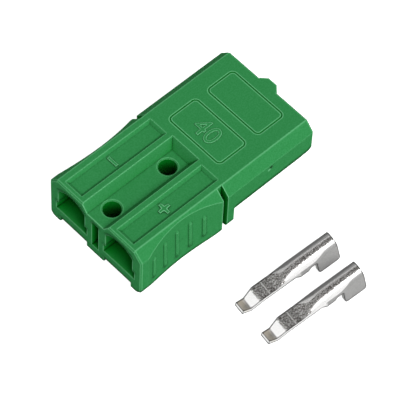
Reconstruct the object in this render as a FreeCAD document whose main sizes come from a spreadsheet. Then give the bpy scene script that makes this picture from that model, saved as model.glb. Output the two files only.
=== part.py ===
import FreeCAD, Part
import math
import os
from types import SimpleNamespace

import Sketcher

# Genderless two-pole power connector: one moulded housing, the two leaf springs that it holds,
# and its two stamped contacts, which lie beside it. Millimetres, +Z up. The housing stands on
# its base. Stations run along X from the wire end to the mating end, and the row's origin is
# midway between the two mounting holes, on the base.

DRIVING_SIZES = [
    ("shell_length", 56.2, "housing, wire end to hood end"),
    ("half_width", 16.0, "housing, half the width"),
    ("shell_height", 16.5, "housing, base to top face"),
    ("side_chamfer", 2.5, "long upper side chamfers, width seen from above"),
    ("bend_height", 13.8, "height where the side chamfers start"),
    ("foot_round", 2.0, "radius of the lower long edges"),
    ("edge_round", 0.5, "radius of the long moulded edges"),
    ("end_chamfer", 0.4, "chamfer round the wire end and the hood end"),
    ("block_length", 30.2, "station of the face that the mate butts on"),
    ("slot_start", 26.4, "station where the side slots start"),
    ("slot_width", 1.5, "side slots, along the housing"),
    ("slot_depth", 2.5, "side slots, depth from the side"),
    ("fin_lift", 1.5, "height of the stop fins' lower edge"),
    ("fin_round", 1.0, "radius of the stop fins' lower outer corner"),
    ("mating_height", 7.15, "height of the plane about which two mated halves turn"),
    ("mating_gap", 0.15, "clearance to the mate at each mating face"),
    ("hood_wall", 2.2, "thickness of the hood"),
    ("hood_round", 2.2, "radius of the hood's lower front corners"),
    ("carrier_setback", 0.6, "how far the contact carriers stop short of the hood end"),
    ("carrier_chamfer", 1.5, "chamfer along the carriers' lower outer edges"),
    ("partition_half", 1.0, "half the thickness of the middle partition"),
    ("tab_reach", 1.5, "latch tab, how far it stands out"),
    ("tab_root", 3.0, "latch tab, half its width at the hood"),
    ("tab_tip", 1.4, "latch tab, half its width at the tip"),
    ("hole_first", 5.38, "station of the first mounting hole"),
    ("hole_spacing", 17.8, "distance between the mounting holes"),
    ("hole_radius", 2.3, "radius of the mounting holes"),
    ("hole_rim", 0.3, "chamfer round each mounting hole in the trough's floor"),
    ("trough_depth", 2.39, "screw trough in the top, depth"),
    ("trough_half", 4.6, "screw trough, half its width at the top"),
    ("trough_end", 29.0, "screw trough, station of its closed end at the top"),
    ("trough_slope", 1.75, "screw trough, run of its sloping walls"),
    ("panel_depth", 0.8, "sunk panels, depth"),
    ("panel_start", 1.3, "sunk panels, first station at the rim"),
    ("panel_end", 28.4, "sunk panels, last station at the rim"),
    ("panel_inner", 6.1, "sunk panels, inner edge at the rim from the middle"),
    ("panel_outer", 11.85, "sunk panels, outer edge at the rim from the middle"),
    ("panel_slope", 0.8, "sunk panels, run of their sloping walls"),
    ("rating_start", 31.3, "rating frame, first station"),
    ("rating_end", 40.7, "rating frame, last station"),
    ("blank_start", 43.9, "blank frame, first station"),
    ("blank_end", 53.0, "blank frame, last station"),
    ("frame_half", 9.05, "frames on the hood, half their width"),
    ("frame_corner", 1.4, "frames on the hood, outer corner radius"),
    ("frame_line", 0.4, "frames on the hood, width of the groove"),
    ("frame_depth", 0.25, "frames on the hood, depth of the groove"),
    ("bay_middle", 8.3, "distance of each wire bay's middle from the middle"),
    ("mouth_half", 5.35, "wire mouth, half its width at the lower slot"),
    ("mouth_floor", 4.85, "wire mouth, height of its floor"),
    ("mouth_step", 7.8, "wire mouth, height where it narrows"),
    ("throat_half", 4.62, "wire mouth, half its width above the step"),
    ("throat_spring", 12.4, "wire mouth, height where its arched top starts"),
    ("throat_top", 14.5, "wire mouth, height of its crown"),
    ("mouth_depth", 16.0, "wire mouth, how deep it runs in"),
    ("lane_floor", 4.2, "contact lane, height of its floor"),
    ("lane_top", 10.0, "contact lane, height of its roof"),
    ("lane_play", 0.2, "clearance on each side of a contact in its lane"),
    ("groove_floor", 2.4, "spring groove, height of its floor"),
    ("groove_seat", 1.5, "spring groove, how far it reaches under the block"),
    ("groove_wall", 1.6, "end wall of the spring groove"),
    ("relief_height", 2.0, "underside reliefs, height"),
    ("relief_inner", 2.9, "underside reliefs, inner edge from the middle"),
    ("relief_outer", 12.5, "underside reliefs, outer edge from the middle"),
    ("relief_length", 24.0, "underside reliefs, length from the wire end"),
    ("notch_half", 1.15, "middle notch in the wire end, half its width"),
    ("notch_low", 3.0, "middle notch, height of its floor"),
    ("notch_top", 12.5, "middle notch, height of its roof"),
    ("notch_depth", 2.2, "middle notch, depth"),
    ("scoop_start", 2.4, "finger scoops, first station"),
    ("scoop_end", 26.0, "finger scoops, last station"),
    ("scoop_low_depth", 1.25, "finger scoops, depth at the base"),
    ("scoop_high_depth", 1.95, "finger scoops, depth at the top face"),
    ("rib_count", 5, "grip ribs on each side"),
    ("rib_first", 4.7, "grip ribs, station of the first"),
    ("rib_pitch", 4.15, "grip ribs, spacing"),
    ("rib_radius", 0.65, "grip ribs, radius"),
    ("rib_proud", 0.4, "grip ribs, how far they stand out of the scoop"),
    ("rib_low", 2.3, "grip ribs, height of the middle one's lower end"),
    ("rib_high", 13.2, "grip ribs, height of the middle one's upper end"),
    ("rib_low_arch", 0.8, "grip ribs, how much higher the outermost ones start"),
    ("rib_high_arch", 1.5, "grip ribs, how much lower the outermost ones end"),
    ("rib_runout", 0.8, "grip ribs, height over which their ends sink into the side"),
    ("leaf_gauge", 0.5, "leaf springs, thickness"),
    ("leaf_play", 0.25, "clearance on each side of a leaf spring in its groove"),
    ("leaf_foot", 4.0, "leaf springs, length of the flat foot"),
    ("leaf_free", 3.0, "leaf springs, gap from the bow's end to the groove's front end"),
    ("leaf_rise", 2.8, "leaf springs, height of the bow"),
    ("leaf_start", 0.3, "leaf springs, gap to the groove's rear end"),
    ("nick_station", 41.9, "nick in the hood's right side, station"),
    ("nick_height", 12.65, "nick in the hood's right side, height"),
    ("nick_length", 1.2, "nick in the hood's right side, length"),
    ("nick_rise", 0.8, "nick in the hood's right side, from its lower to its upper edge"),
    ("nick_depth", 0.35, "nick in the hood's right side, depth"),
    ("contact_length", 27.3, "contacts, length"),
    ("gauge", 1.1, "contacts, sheet thickness"),
    ("barrel_half", 2.2, "contacts, half the width of the tongue and the barrel"),
    ("tongue_level", 0.2, "contacts, top of the tongue above the height where the wings start"),
    ("tip_half", 1.53, "contacts, half the width of the tip"),
    ("dip_half", 1.76, "contacts, half the width at the dip"),
    ("tip_rise", 0.9, "contacts, how far the tip turns up from the dip"),
    ("dip_drop", 1.34, "contacts, depth of the dip below the tongue"),
    ("dip_station", 2.1, "contacts, distance of the dip from the tip"),
    ("flat_start", 5.1, "contacts, distance from the tip to where the tongue is flat"),
    ("arch_start", 9.4, "contacts, distance from the tip to where the tongue starts to arch"),
    ("arch_full", 15.0, "contacts, distance from the tip to the full barrel"),
    ("arch_crest", 1.9, "contacts, height of the crest where the barrel is full"),
    ("barrel_crest", 2.1, "contacts, height of the crest at the wire end"),
    ("sheet_corner", 0.1, "contacts, corner radius where the tongue starts to arch"),
    ("arch_corner", 1.7, "contacts, shoulder radius where the barrel is full"),
    ("barrel_corner", 1.95, "contacts, shoulder radius at the wire end"),
    ("hollow_corner", 0.7, "contacts, corner radius inside the barrel"),
    ("hollow_nose", 0.25, "contacts, height of the barrel's hollow where it starts"),
    ("skirt_drop", 2.05, "contacts, skirt below the height where the wings start"),
    ("skirt_start", 16.05, "contacts, distance from the tip to the full skirt"),
    ("skirt_end", 18.55, "contacts, distance from the tip to the end of the skirt"),
    ("waist_drop", 1.2, "contacts, side wall beside the wings, below the same height"),
    ("wing_start", 21.0, "contacts, distance from the tip to the crimp wings"),
    ("wing_drop", 6.55, "contacts, crimp wings, below the same height"),
    ("wing_round", 1.0, "contacts, radius of the wings' lower corners"),
    ("contact_turn", -8.1, "contacts as they lie, turn about the vertical in degrees"),
    ("near_dip_station", 16.6, "station of the nearer contact's dip"),
    ("near_dip_offset", 34.7, "nearer contact's dip, distance from the middle"),
    ("far_dip_station", 15.45, "station of the further contact's dip"),
    ("far_dip_offset", 44.75, "further contact's dip, distance from the middle"),
]

MARGIN = 2.0
CLOSE = 0.01
SIDES = {"left": 1, "right": -1}


class Size:
    """A length that knows its value and the sheet formula that it comes from."""

    def __init__(self, value, formula=None):
        self.value = float(value)
        self.formula = formula if formula else "%g" % value

    @staticmethod
    def of(other):
        return other if isinstance(other, Size) else Size(other)

    def joined(self, other, sign, value):
        return Size(value, "(%s %s %s)" % (self.formula, sign, other.formula))

    def __add__(self, other):
        other = Size.of(other)
        return self.joined(other, "+", self.value + other.value)

    def __sub__(self, other):
        other = Size.of(other)
        return self.joined(other, "-", self.value - other.value)

    def __mul__(self, other):
        other = Size.of(other)
        return self.joined(other, "*", self.value * other.value)

    def __truediv__(self, other):
        other = Size.of(other)
        return self.joined(other, "/", self.value / other.value)

    def __radd__(self, other):
        return Size.of(other) + self

    def __rsub__(self, other):
        return Size.of(other) - self

    def __rmul__(self, other):
        return Size.of(other) * self

    def __neg__(self):
        return Size.of(0) - self

    def root(self):
        return Size(math.sqrt(self.value), "sqrt(%s)" % self.formula)


def bow_radius(half_span, rise):
    """Radius of the arc that rises this much over this half span."""
    return (half_span * half_span + rise * rise) / (2 * rise)


def make_sheet(doc):
    """The driving dimensions, one row each, with the name as the value's alias."""
    sheet = doc.addObject("Spreadsheet::Sheet", "Sizes")
    named = {}
    for row, (alias, value, meaning) in enumerate(DRIVING_SIZES, start=1):
        sheet.set("A%d" % row, meaning)
        sheet.set("B%d" % row, "%g" % value)
        sheet.setAlias("B%d" % row, alias)
        named[alias] = Size(value, "Sizes." + alias)
    doc.recompute()
    return SimpleNamespace(**named)


def bind(thing, field, size):
    setattr(thing, field, size.value)
    thing.setExpression(field, size.formula)


def new_sketch(body, name, plane, offset):
    """An empty sketch parallel to one of the body's own planes."""
    sketch = body.newObject("Sketcher::SketchObject", name)
    support = [part for part in body.Origin.OriginFeatures if part.Role == plane][0]
    sketch.AttachmentSupport = [(support, "")]
    sketch.MapMode = "FlatFace"
    offset = Size.of(offset)
    raised = FreeCAD.Vector(0, 0, offset.value)
    sketch.AttachmentOffset = FreeCAD.Placement(raised, FreeCAD.Rotation())
    sketch.setExpression("AttachmentOffset.Base.z", offset.formula)
    return sketch


def pin(sketch, geometry, point, x=None, y=None):
    """Hold a point of the sketch at its distances from the sketch's origin."""
    for kind, axis, size in (("DistanceX", -2, x), ("DistanceY", -1, y)):
        if size is None:
            continue
        size = Size.of(size)
        if size.value == 0:
            sketch.addConstraint(Sketcher.Constraint("PointOnObject", geometry, point, axis))
            continue
        rule = Sketcher.Constraint(kind, -1, 1, geometry, point, size.value)
        index = sketch.addConstraint(rule)
        sketch.setExpression("Constraints[%d]" % index, size.formula)


def draw_loop(sketch, corners):
    """A closed outline. A corner is (x, y), or (x, y, centre_x, centre_y, turn) where an arc
    leaves it about that centre, anticlockwise for a turn of 1 and clockwise for -1."""
    first_edge = sketch.GeometryCount
    ends = []
    for corner, following in zip(corners, corners[1:] + corners[:1]):
        start = FreeCAD.Vector(Size.of(corner[0]).value, Size.of(corner[1]).value, 0)
        finish = FreeCAD.Vector(Size.of(following[0]).value, Size.of(following[1]).value, 0)
        if len(corner) == 2:
            sketch.addGeometry(Part.LineSegment(start, finish), False)
            ends.append((1, 2))
            continue
        middle = FreeCAD.Vector(Size.of(corner[2]).value, Size.of(corner[3]).value, 0)
        turn = corner[4]
        low, high = (start, finish) if turn > 0 else (finish, start)
        low_angle = math.atan2(low.y - middle.y, low.x - middle.x)
        high_angle = math.atan2(high.y - middle.y, high.x - middle.x)
        if high_angle <= low_angle:
            high_angle += 2 * math.pi
        circle = Part.Circle(middle, FreeCAD.Vector(0, 0, 1), (start - middle).Length)
        sketch.addGeometry(Part.ArcOfCircle(circle, low_angle, high_angle), False)
        ends.append((1, 2) if turn > 0 else (2, 1))
    count = len(corners)
    for index, corner in enumerate(corners):
        edge = first_edge + index
        onward_index = (index + 1) % count
        sketch.addConstraint(Sketcher.Constraint(
            "Coincident", edge, ends[index][1], first_edge + onward_index, ends[onward_index][0]))
        pin(sketch, edge, ends[index][0], corner[0], corner[1])
        if len(corner) > 2:
            onward = corners[onward_index]
            run = abs(Size.of(onward[0]).value - Size.of(corner[0]).value)
            rise = abs(Size.of(onward[1]).value - Size.of(corner[1]).value)
            if run >= rise:
                pin(sketch, edge, 3, y=corner[3])
            else:
                pin(sketch, edge, 3, x=corner[2])


def draw_circle(sketch, x, y, radius):
    middle = FreeCAD.Vector(Size.of(x).value, Size.of(y).value, 0)
    circle = Part.Circle(middle, FreeCAD.Vector(0, 0, 1), radius.value)
    index = sketch.addGeometry(circle, False)
    pin(sketch, index, 3, x, y)
    rule = sketch.addConstraint(Sketcher.Constraint("Radius", index, radius.value))
    sketch.setExpression("Constraints[%d]" % rule, radius.formula)


def box_loop(x_low, x_high, y_low, y_high):
    return [(x_low, y_low), (x_high, y_low), (x_high, y_high), (x_low, y_high)]


def round_box_loop(x_low, x_high, y_low, y_high, radius):
    """A rectangle with four equal corner radii."""
    left, right = x_low + radius, x_high - radius
    down, up = y_low + radius, y_high - radius
    return [
        (left, y_low), (right, y_low, right, down, 1),
        (x_high, down), (x_high, up, right, up, 1),
        (right, y_high), (left, y_high, left, up, 1),
        (x_low, up), (x_low, down, left, down, 1),
    ]


def sketch_of(body, name, plane, offset, *loops):
    sketch = new_sketch(body, name, plane, offset)
    for loop in loops:
        draw_loop(sketch, loop)
    return sketch


def pad(body, name, sketch, length, both_ways=False):
    feature = body.newObject("PartDesign::Pad", name)
    feature.Profile = sketch
    feature.SideType = "Symmetric" if both_ways else "One side"
    bind(feature, "Length", length)
    return feature


def pocket(body, name, sketch, length=None, forward=True, both_ways=False):
    """Cuts along the sketch's normal, by a length or right through."""
    feature = body.newObject("PartDesign::Pocket", name)
    feature.Profile = sketch
    feature.SideType = "Symmetric" if both_ways else "One side"
    feature.Reversed = forward
    if length is None:
        feature.Type = "ThroughAll"
    else:
        bind(feature, "Length", length)
    return feature


def loft(body, name, sketches, cuts):
    kind = "PartDesign::SubtractiveLoft" if cuts else "PartDesign::AdditiveLoft"
    feature = body.newObject(kind, name)
    feature.Profile = sketches[0]
    feature.Sections = sketches[1:]
    feature.Ruled = True
    return feature


def mirror(body, name, features):
    """Repeats features on the other side of the middle."""
    feature = body.newObject("PartDesign::Mirrored", name)
    feature.Originals = features
    middle = [part for part in body.Origin.OriginFeatures if part.Role == "XZ_Plane"][0]
    feature.MirrorPlane = (middle, [""])
    body.Tip = feature
    return feature


def dress_edges(doc, body, name, kind, chosen):
    """A fillet or chamfer on the edges of the shape so far that a test picks."""
    doc.recompute()
    base = body.Tip
    names = ["Edge%d" % number
             for number, edge in enumerate(base.Shape.Edges, start=1) if chosen(edge)]
    feature = body.newObject("PartDesign::" + kind, name)
    feature.Base = (base, names)
    return feature


def round_edges(doc, body, name, radius, chosen):
    bind(dress_edges(doc, body, name, "Fillet", chosen), "Radius", radius)


def chamfer_edges(doc, body, name, size, chosen):
    bind(dress_edges(doc, body, name, "Chamfer", chosen), "Size", size)


def outer_form(doc, body, s):
    """The whole outline, pulled from the wire end to the hood end, with its edges rounded."""
    inset = s.half_width - s.foot_round
    crease = s.half_width - s.side_chamfer
    section = [
        (-inset, 0), (inset, 0, inset, s.foot_round, 1),
        (s.half_width, s.foot_round), (s.half_width, s.bend_height),
        (crease, s.shell_height), (-crease, s.shell_height),
        (-s.half_width, s.bend_height), (-s.half_width, s.foot_round, -inset, s.foot_round, 1),
    ]
    outline = sketch_of(body, "OuterOutline", "YZ_Plane", 0, section)
    pad(body, "OuterForm", outline, s.shell_length)
    half_length = s.shell_length.value / 2
    round_top = (s.foot_round + s.edge_round).value
    foot_middle = s.foot_round.value / 2
    round_edges(doc, body, "LongRounds", s.edge_round, lambda edge: (
        edge.BoundBox.XLength > half_length and edge.BoundBox.ZMin > round_top))
    chamfer_edges(doc, body, "EndChamfers", s.end_chamfer, lambda edge: (
        edge.BoundBox.XLength < half_length and edge.BoundBox.ZMax > foot_middle))


def mating_end(body, s):
    """The hood above, the two carriers below it and the partition between them."""
    carrier_top = s.mating_height - s.mating_gap
    cavity_side = s.half_width - s.hood_wall
    carrier_side = cavity_side - 2 * s.mating_gap
    ceiling = s.shell_height - s.hood_wall
    corner = s.carrier_chamfer
    middle_gap = s.partition_half + 2 * s.mating_gap
    edge = s.partition_half
    under = s.mating_height + s.mating_gap
    section = [
        (-middle_gap, -MARGIN), (middle_gap, -MARGIN), (middle_gap, carrier_top),
        (cavity_side, carrier_top), (cavity_side, ceiling - corner), (cavity_side - corner, ceiling),
        (edge, ceiling), (edge, under), (-edge, under), (-edge, ceiling),
        (corner - cavity_side, ceiling), (-cavity_side, ceiling - corner),
        (-cavity_side, carrier_top), (-middle_gap, carrier_top),
    ]
    hollow = sketch_of(body, "HoodSection", "YZ_Plane", s.block_length, section)
    pocket(body, "HoodHollow", hollow)

    shoulder = s.mating_height + s.hood_round
    beyond = s.shell_length + MARGIN
    fin_start = s.slot_start + s.slot_width / 2
    side = [
        (fin_start, -MARGIN), (beyond, -MARGIN), (beyond, shoulder),
        (s.shell_length, shoulder, s.shell_length - s.hood_round, shoulder, -1),
        (s.shell_length - s.hood_round, s.mating_height), (s.block_length, s.mating_height),
        (s.block_length, s.fin_lift), (fin_start, s.fin_lift),
    ]
    beside = sketch_of(body, "HoodSide", "XZ_Plane", carrier_side, side)
    clear = pocket(body, "BesideCarrier", beside)
    mirror(body, "BesideCarriers", [clear])

    carrier_end = s.shell_length - s.carrier_setback
    front = sketch_of(body, "CarrierFront", "XZ_Plane", 0,
                      box_loop(carrier_end, beyond, Size(-MARGIN), s.mating_height))
    pocket(body, "CarrierEnd", front, both_ways=True)

    wedge = [(carrier_side - corner, 0), (carrier_side, 0), (carrier_side, corner)]
    chamfer = sketch_of(body, "CarrierWedge", "YZ_Plane", s.block_length, wedge)
    trimmed = pocket(body, "CarrierChamfer", chamfer)
    mirror(body, "CarrierChamfers", [trimmed])


def stop_fins(doc, body, s):
    """Rounds the lower outer corners of the fins that the mate's hood butts on."""
    start = (s.slot_start + s.slot_width).value
    inside = (s.half_width - s.fin_round).value

    def lower_corner(edge):
        box = edge.BoundBox
        low = box.ZLength < CLOSE and abs(box.ZMin - s.fin_lift.value) < CLOSE
        outer = min(abs(box.YMin), abs(box.YMax)) > inside
        along = box.XLength > s.slot_width.value / 2 and box.XMin > start - CLOSE
        return low and outer and along

    round_edges(doc, body, "FinRounds", s.fin_round, lower_corner)


def side_slots(body, s):
    end = s.slot_start + s.slot_width
    outline = sketch_of(body, "SlotOutline", "XY_Plane", 0,
                        box_loop(s.slot_start, end, s.half_width - s.slot_depth,
                                 s.half_width + MARGIN))
    slot = pocket(body, "SideSlot", outline)
    mirror(body, "SideSlots", [slot])


def wire_bays(body, s):
    """Each bay from the wire end: mouth, contact lane, and spring groove in the carrier."""
    middle = s.bay_middle
    crown = s.throat_top - bow_radius(s.throat_half, s.throat_top - s.throat_spring)
    mouth = [
        (middle - s.mouth_half, s.mouth_floor), (middle + s.mouth_half, s.mouth_floor),
        (middle + s.mouth_half, s.mouth_step), (middle + s.throat_half, s.mouth_step),
        (middle + s.throat_half, s.throat_spring, middle, crown, 1),
        (middle - s.throat_half, s.throat_spring), (middle - s.throat_half, s.mouth_step),
        (middle - s.mouth_half, s.mouth_step),
    ]
    opening = sketch_of(body, "MouthOutline", "YZ_Plane", 0, mouth)
    cuts = [pocket(body, "WireMouth", opening, s.mouth_depth)]

    lane_half = s.barrel_half + s.lane_play
    lane_start = s.mouth_depth - s.lane_play
    near, far = middle - lane_half, middle + lane_half
    lane = sketch_of(body, "LaneOutline", "YZ_Plane", lane_start,
                     box_loop(near, far, s.lane_floor, s.lane_top))
    cuts.append(pocket(body, "ContactLane", lane, s.block_length + s.lane_play - lane_start))

    groove_start = s.block_length - s.groove_seat
    groove_end = s.shell_length - s.carrier_setback - s.groove_wall
    groove = sketch_of(body, "GrooveOutline", "YZ_Plane", groove_start,
                       box_loop(near, far, s.groove_floor, s.mating_height))
    cuts.append(pocket(body, "SpringGroove", groove, groove_end - groove_start))
    mirror(body, "OtherBay", cuts)


def underside(body, s):
    """Reliefs under the bays, which leave a middle rib and two feet on the base."""
    outline = sketch_of(body, "ReliefOutline", "XY_Plane", 0,
                        box_loop(Size(-MARGIN), s.relief_length, s.relief_inner, s.relief_outer))
    relief = pocket(body, "Relief", outline, s.relief_height)
    mirror(body, "Reliefs", [relief])


def middle_notch(body, s):
    outline = sketch_of(body, "NotchOutline", "YZ_Plane", 0,
                        box_loop(-s.notch_half, s.notch_half, s.notch_low, s.notch_top))
    pocket(body, "MiddleNotch", outline, s.notch_depth)


def screw_trough(body, s):
    """The sloping-walled trough that the two mounting screws sit in, open at the wire end."""
    floor_end, floor_half = s.trough_end - s.trough_slope, s.trough_half - s.trough_slope
    rim = sketch_of(body, "TroughRim", "XY_Plane", s.shell_height,
                    box_loop(Size(-MARGIN), s.trough_end, -s.trough_half, s.trough_half))
    floor = sketch_of(body, "TroughFloor", "XY_Plane", s.shell_height - s.trough_depth,
                      box_loop(Size(-MARGIN), floor_end, -floor_half, floor_half))
    loft(body, "ScrewTrough", [rim, floor], cuts=True)


def sunk_panels(body, s):
    run = s.panel_slope
    rim = sketch_of(body, "PanelRim", "XY_Plane", s.shell_height,
                    box_loop(s.panel_start, s.panel_end, s.panel_inner, s.panel_outer))
    sunk = box_loop(s.panel_start + run, s.panel_end - run,
                    s.panel_inner + run, s.panel_outer - run)
    floor = sketch_of(body, "PanelFloor", "XY_Plane", s.shell_height - s.panel_depth, sunk)
    panel = loft(body, "SunkPanel", [rim, floor], cuts=True)
    mirror(body, "SunkPanels", [panel])


def hood_frames(body, s):
    """The two thin grooved frames on top of the hood."""
    line = s.frame_line
    frames = {"Rating": (s.rating_start, s.rating_end), "Blank": (s.blank_start, s.blank_end)}
    inner_half = s.frame_half - line
    for name, (start, end) in frames.items():
        outer = round_box_loop(start, end, -s.frame_half, s.frame_half, s.frame_corner)
        inner = round_box_loop(start + line, end - line, -inner_half, inner_half,
                               s.frame_corner - line)
        ring = sketch_of(body, name + "Ring", "XY_Plane", s.shell_height, outer, inner)
        pocket(body, name + "Frame", ring, s.frame_depth, forward=False)


def mounting_holes(doc, body, s):
    """Two holes right through, with a small chamfer where they open in the trough."""
    sketch = new_sketch(body, "HoleCircles", "XY_Plane", 0)
    draw_circle(sketch, s.hole_first, 0, s.hole_radius)
    draw_circle(sketch, s.hole_first + s.hole_spacing, 0, s.hole_radius)
    pocket(body, "MountingHoles", sketch)
    trough_floor = (s.shell_height - s.trough_depth).value
    circle = Part.Circle
    chamfer_edges(doc, body, "HoleRims", s.hole_rim, lambda edge: (
        isinstance(edge.Curve, circle) and abs(edge.BoundBox.ZMin - trough_floor) < CLOSE))


def latch_tab(body, s):
    """The small tab on the hood end, flush with the top, that passes under the mate's base."""
    inside = s.shell_length - s.hood_wall / 2
    tip = s.shell_length + s.tab_reach
    outline = [
        (inside, -s.tab_root), (s.shell_length, -s.tab_root), (tip, -s.tab_tip),
        (tip, s.tab_tip), (s.shell_length, s.tab_root), (inside, s.tab_root),
    ]
    sketch = sketch_of(body, "TabOutline", "XY_Plane", s.shell_height - s.hood_wall, outline)
    pad(body, "LatchTab", sketch, s.hood_wall)


def hood_nick(body, s):
    """The small nick in the right side of the hood, deepest near its upper edge."""
    def outline(corners):
        return [(s.nick_station + s.nick_length * x, s.nick_height + s.nick_rise * z)
                for x, z in corners]

    rim = sketch_of(body, "NickRim", "XZ_Plane", s.half_width,
                    outline([(-0.5, -0.5), (0.3, -0.35), (0.5, 0.5), (-0.1, 0.4)]))
    floor = sketch_of(body, "NickFloor", "XZ_Plane", s.half_width - s.nick_depth,
                      outline([(-0.1, 0.0), (0.15, 0.05), (0.25, 0.35), (0.0, 0.3)]))
    loft(body, "HoodNick", [rim, floor], cuts=True)


def scoop_loop(s, depth):
    """Plan of a finger scoop on the right side, sunk by the depth at its middle."""
    half_span = (s.scoop_end - s.scoop_start) / 2
    middle = s.scoop_start + half_span
    centre = -s.half_width + depth - bow_radius(half_span, depth)
    outside = -s.half_width - MARGIN
    return [
        (s.scoop_start, outside), (s.scoop_end, outside),
        (s.scoop_end, -s.half_width, middle, centre, 1), (s.scoop_start, -s.half_width),
    ]


def scoop_surface(s, depth, station):
    """Distance of the scooped side from the middle at a station, for the depth at that height."""
    half_span = (s.scoop_end - s.scoop_start) / 2
    radius = bow_radius(half_span, depth)
    across = station - s.scoop_start - half_span
    return s.half_width - depth + radius - (radius * radius - across * across).root()


def finger_scoops(body, s):
    low = sketch_of(body, "ScoopLow", "XY_Plane", 0, scoop_loop(s, s.scoop_low_depth))
    high = sketch_of(body, "ScoopHigh", "XY_Plane", s.shell_height, scoop_loop(s, s.scoop_high_depth))
    scoop = loft(body, "Scoop", [low, high], cuts=True)
    mirror(body, "Scoops", [scoop])


def grip_ribs(body, s):
    """Upright half-round ribs that follow the scooped side. Their ends sink into it, and lie
    on an arch, so the middle rib is the longest."""
    ribs = []
    slope = (s.scoop_high_depth - s.scoop_low_depth) / s.shell_height
    half_row = (s.rib_count - 1) / 2
    for number in range(int(s.rib_count.value)):
        station = s.rib_first + number * s.rib_pitch
        outward = (number - half_row) / half_row
        low = s.rib_low + s.rib_low_arch * outward * outward
        high = s.rib_high - s.rib_high_arch * outward * outward
        levels = [(low, 0), (low + s.rib_runout, s.rib_proud),
                  (high - s.rib_runout, s.rib_proud), (high, 0)]
        circles = []
        for place, (height, proud) in zip("ABCD", levels):
            depth = s.scoop_low_depth + slope * height
            centre = s.rib_radius - proud - scoop_surface(s, depth, station)
            sketch = new_sketch(body, "Rib%d%s" % (number + 1, place), "XY_Plane", height)
            draw_circle(sketch, station, centre, s.rib_radius)
            circles.append(sketch)
        ribs.append(loft(body, "Rib%d" % (number + 1), circles, cuts=False))
    mirror(body, "OtherRibs", ribs)


def make_housing(doc, s):
    body = doc.addObject("PartDesign::Body", "Housing")
    body.Label = "housing"
    outer_form(doc, body, s)
    mating_end(body, s)
    side_slots(body, s)
    stop_fins(doc, body, s)
    finger_scoops(body, s)
    grip_ribs(body, s)
    latch_tab(body, s)
    wire_bays(body, s)
    underside(body, s)
    middle_notch(body, s)
    screw_trough(body, s)
    sunk_panels(body, s)
    hood_frames(body, s)
    hood_nick(body, s)
    mounting_holes(doc, body, s)
    return body


def make_leaf_spring(doc, s, side):
    """A bowed leaf that lies on the groove's floor and presses the contact's tongue up."""
    body = doc.addObject("PartDesign::Body", "LeafSpring" + side.title())
    body.Label = "contact_spring_" + side
    start = s.block_length - s.groove_seat + s.leaf_start
    bow_start = start + s.leaf_foot
    bow_end = s.shell_length - s.carrier_setback - s.groove_wall - s.leaf_free
    floor = s.groove_floor
    half = (bow_end - bow_start) / 2
    middle = bow_start + half
    radius = bow_radius(half, s.leaf_rise)
    centre = floor + s.leaf_rise - radius
    thick = s.leaf_gauge
    outer = radius + thick
    reach = (outer * outer - (floor + thick - centre) * (floor + thick - centre)).root()
    profile = [
        (start, floor), (bow_start, floor, middle, centre, -1), (bow_end, floor),
        (middle + reach, floor + thick, middle, centre, 1), (middle - reach, floor + thick),
        (start, floor + thick),
    ]
    tag = side.title()
    bay = SIDES[side] * s.bay_middle
    sketch = sketch_of(body, "LeafSide" + tag, "XZ_Plane", -bay, profile)
    width = 2 * (s.barrel_half + s.lane_play - s.leaf_play)
    pad(body, "Leaf" + tag, sketch, width, both_ways=True)
    return body


def contact_tongue(body, s, tag):
    """The bent strip: tip turned up, dip, flat tongue; then its plan, which narrows to the tip."""
    level = s.tongue_level
    under = level - s.gauge
    dip = level - s.dip_drop
    root = s.arch_start
    tip_run = (s.dip_station * s.dip_station + s.tip_rise * s.tip_rise).root()
    nose = -s.gauge * s.tip_rise / tip_run
    nose_low = dip + s.tip_rise - s.gauge * s.dip_station / tip_run
    profile = [
        (nose, nose_low), (s.dip_station, dip - s.gauge), (s.flat_start, under), (root, under),
        (root, level), (s.flat_start, level), (s.dip_station, dip), (0, dip + s.tip_rise),
    ]
    sketch = sketch_of(body, "StripSide" + tag, "XZ_Plane", 0, profile)
    pad(body, "Strip" + tag, sketch, 2 * s.barrel_half, both_ways=True)
    beside = [
        (Size(-MARGIN), s.tip_half), (0, s.tip_half), (s.dip_station, s.dip_half),
        (s.flat_start, s.barrel_half), (s.flat_start, s.barrel_half + MARGIN),
        (Size(-MARGIN), s.barrel_half + MARGIN),
    ]
    plan = sketch_of(body, "TaperPlan" + tag, "XY_Plane", 0, beside)
    taper = pocket(body, "Taper" + tag, plan, both_ways=True)
    mirror(body, "Tapers" + tag, [taper])


def arch_loop(half, low, crest, corner):
    """A section with a flat top, round shoulders and upright sides."""
    inset, spring = half - corner, crest - corner
    return [
        (-half, low), (half, low), (half, spring, inset, spring, 1),
        (inset, crest), (-inset, crest, -inset, spring, 1), (-half, spring),
    ]


def contact_slope(body, s, tag):
    """Where the tongue's sides bend down and its middle rises into the barrel, hollow below."""
    low = s.tongue_level - s.gauge
    sketches = [
        sketch_of(body, "SlopeStart" + tag, "YZ_Plane", s.arch_start,
                  arch_loop(s.barrel_half, low, s.tongue_level, s.sheet_corner)),
        sketch_of(body, "SlopeEnd" + tag, "YZ_Plane", s.arch_full,
                  arch_loop(s.barrel_half, low, s.arch_crest, s.arch_corner)),
    ]
    loft(body, "Slope" + tag, sketches, cuts=False)
    inside = s.barrel_half - s.gauge
    below = low - MARGIN
    sketches = [
        sketch_of(body, "HollowStart" + tag, "YZ_Plane", s.arch_start + s.gauge,
                  arch_loop(inside, below, low + s.hollow_nose, s.hollow_corner)),
        sketch_of(body, "HollowEnd" + tag, "YZ_Plane", s.arch_full,
                  arch_loop(inside, below, s.arch_crest - s.gauge, s.hollow_corner)),
    ]
    loft(body, "SlopeHollow" + tag, sketches, cuts=True)


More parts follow.
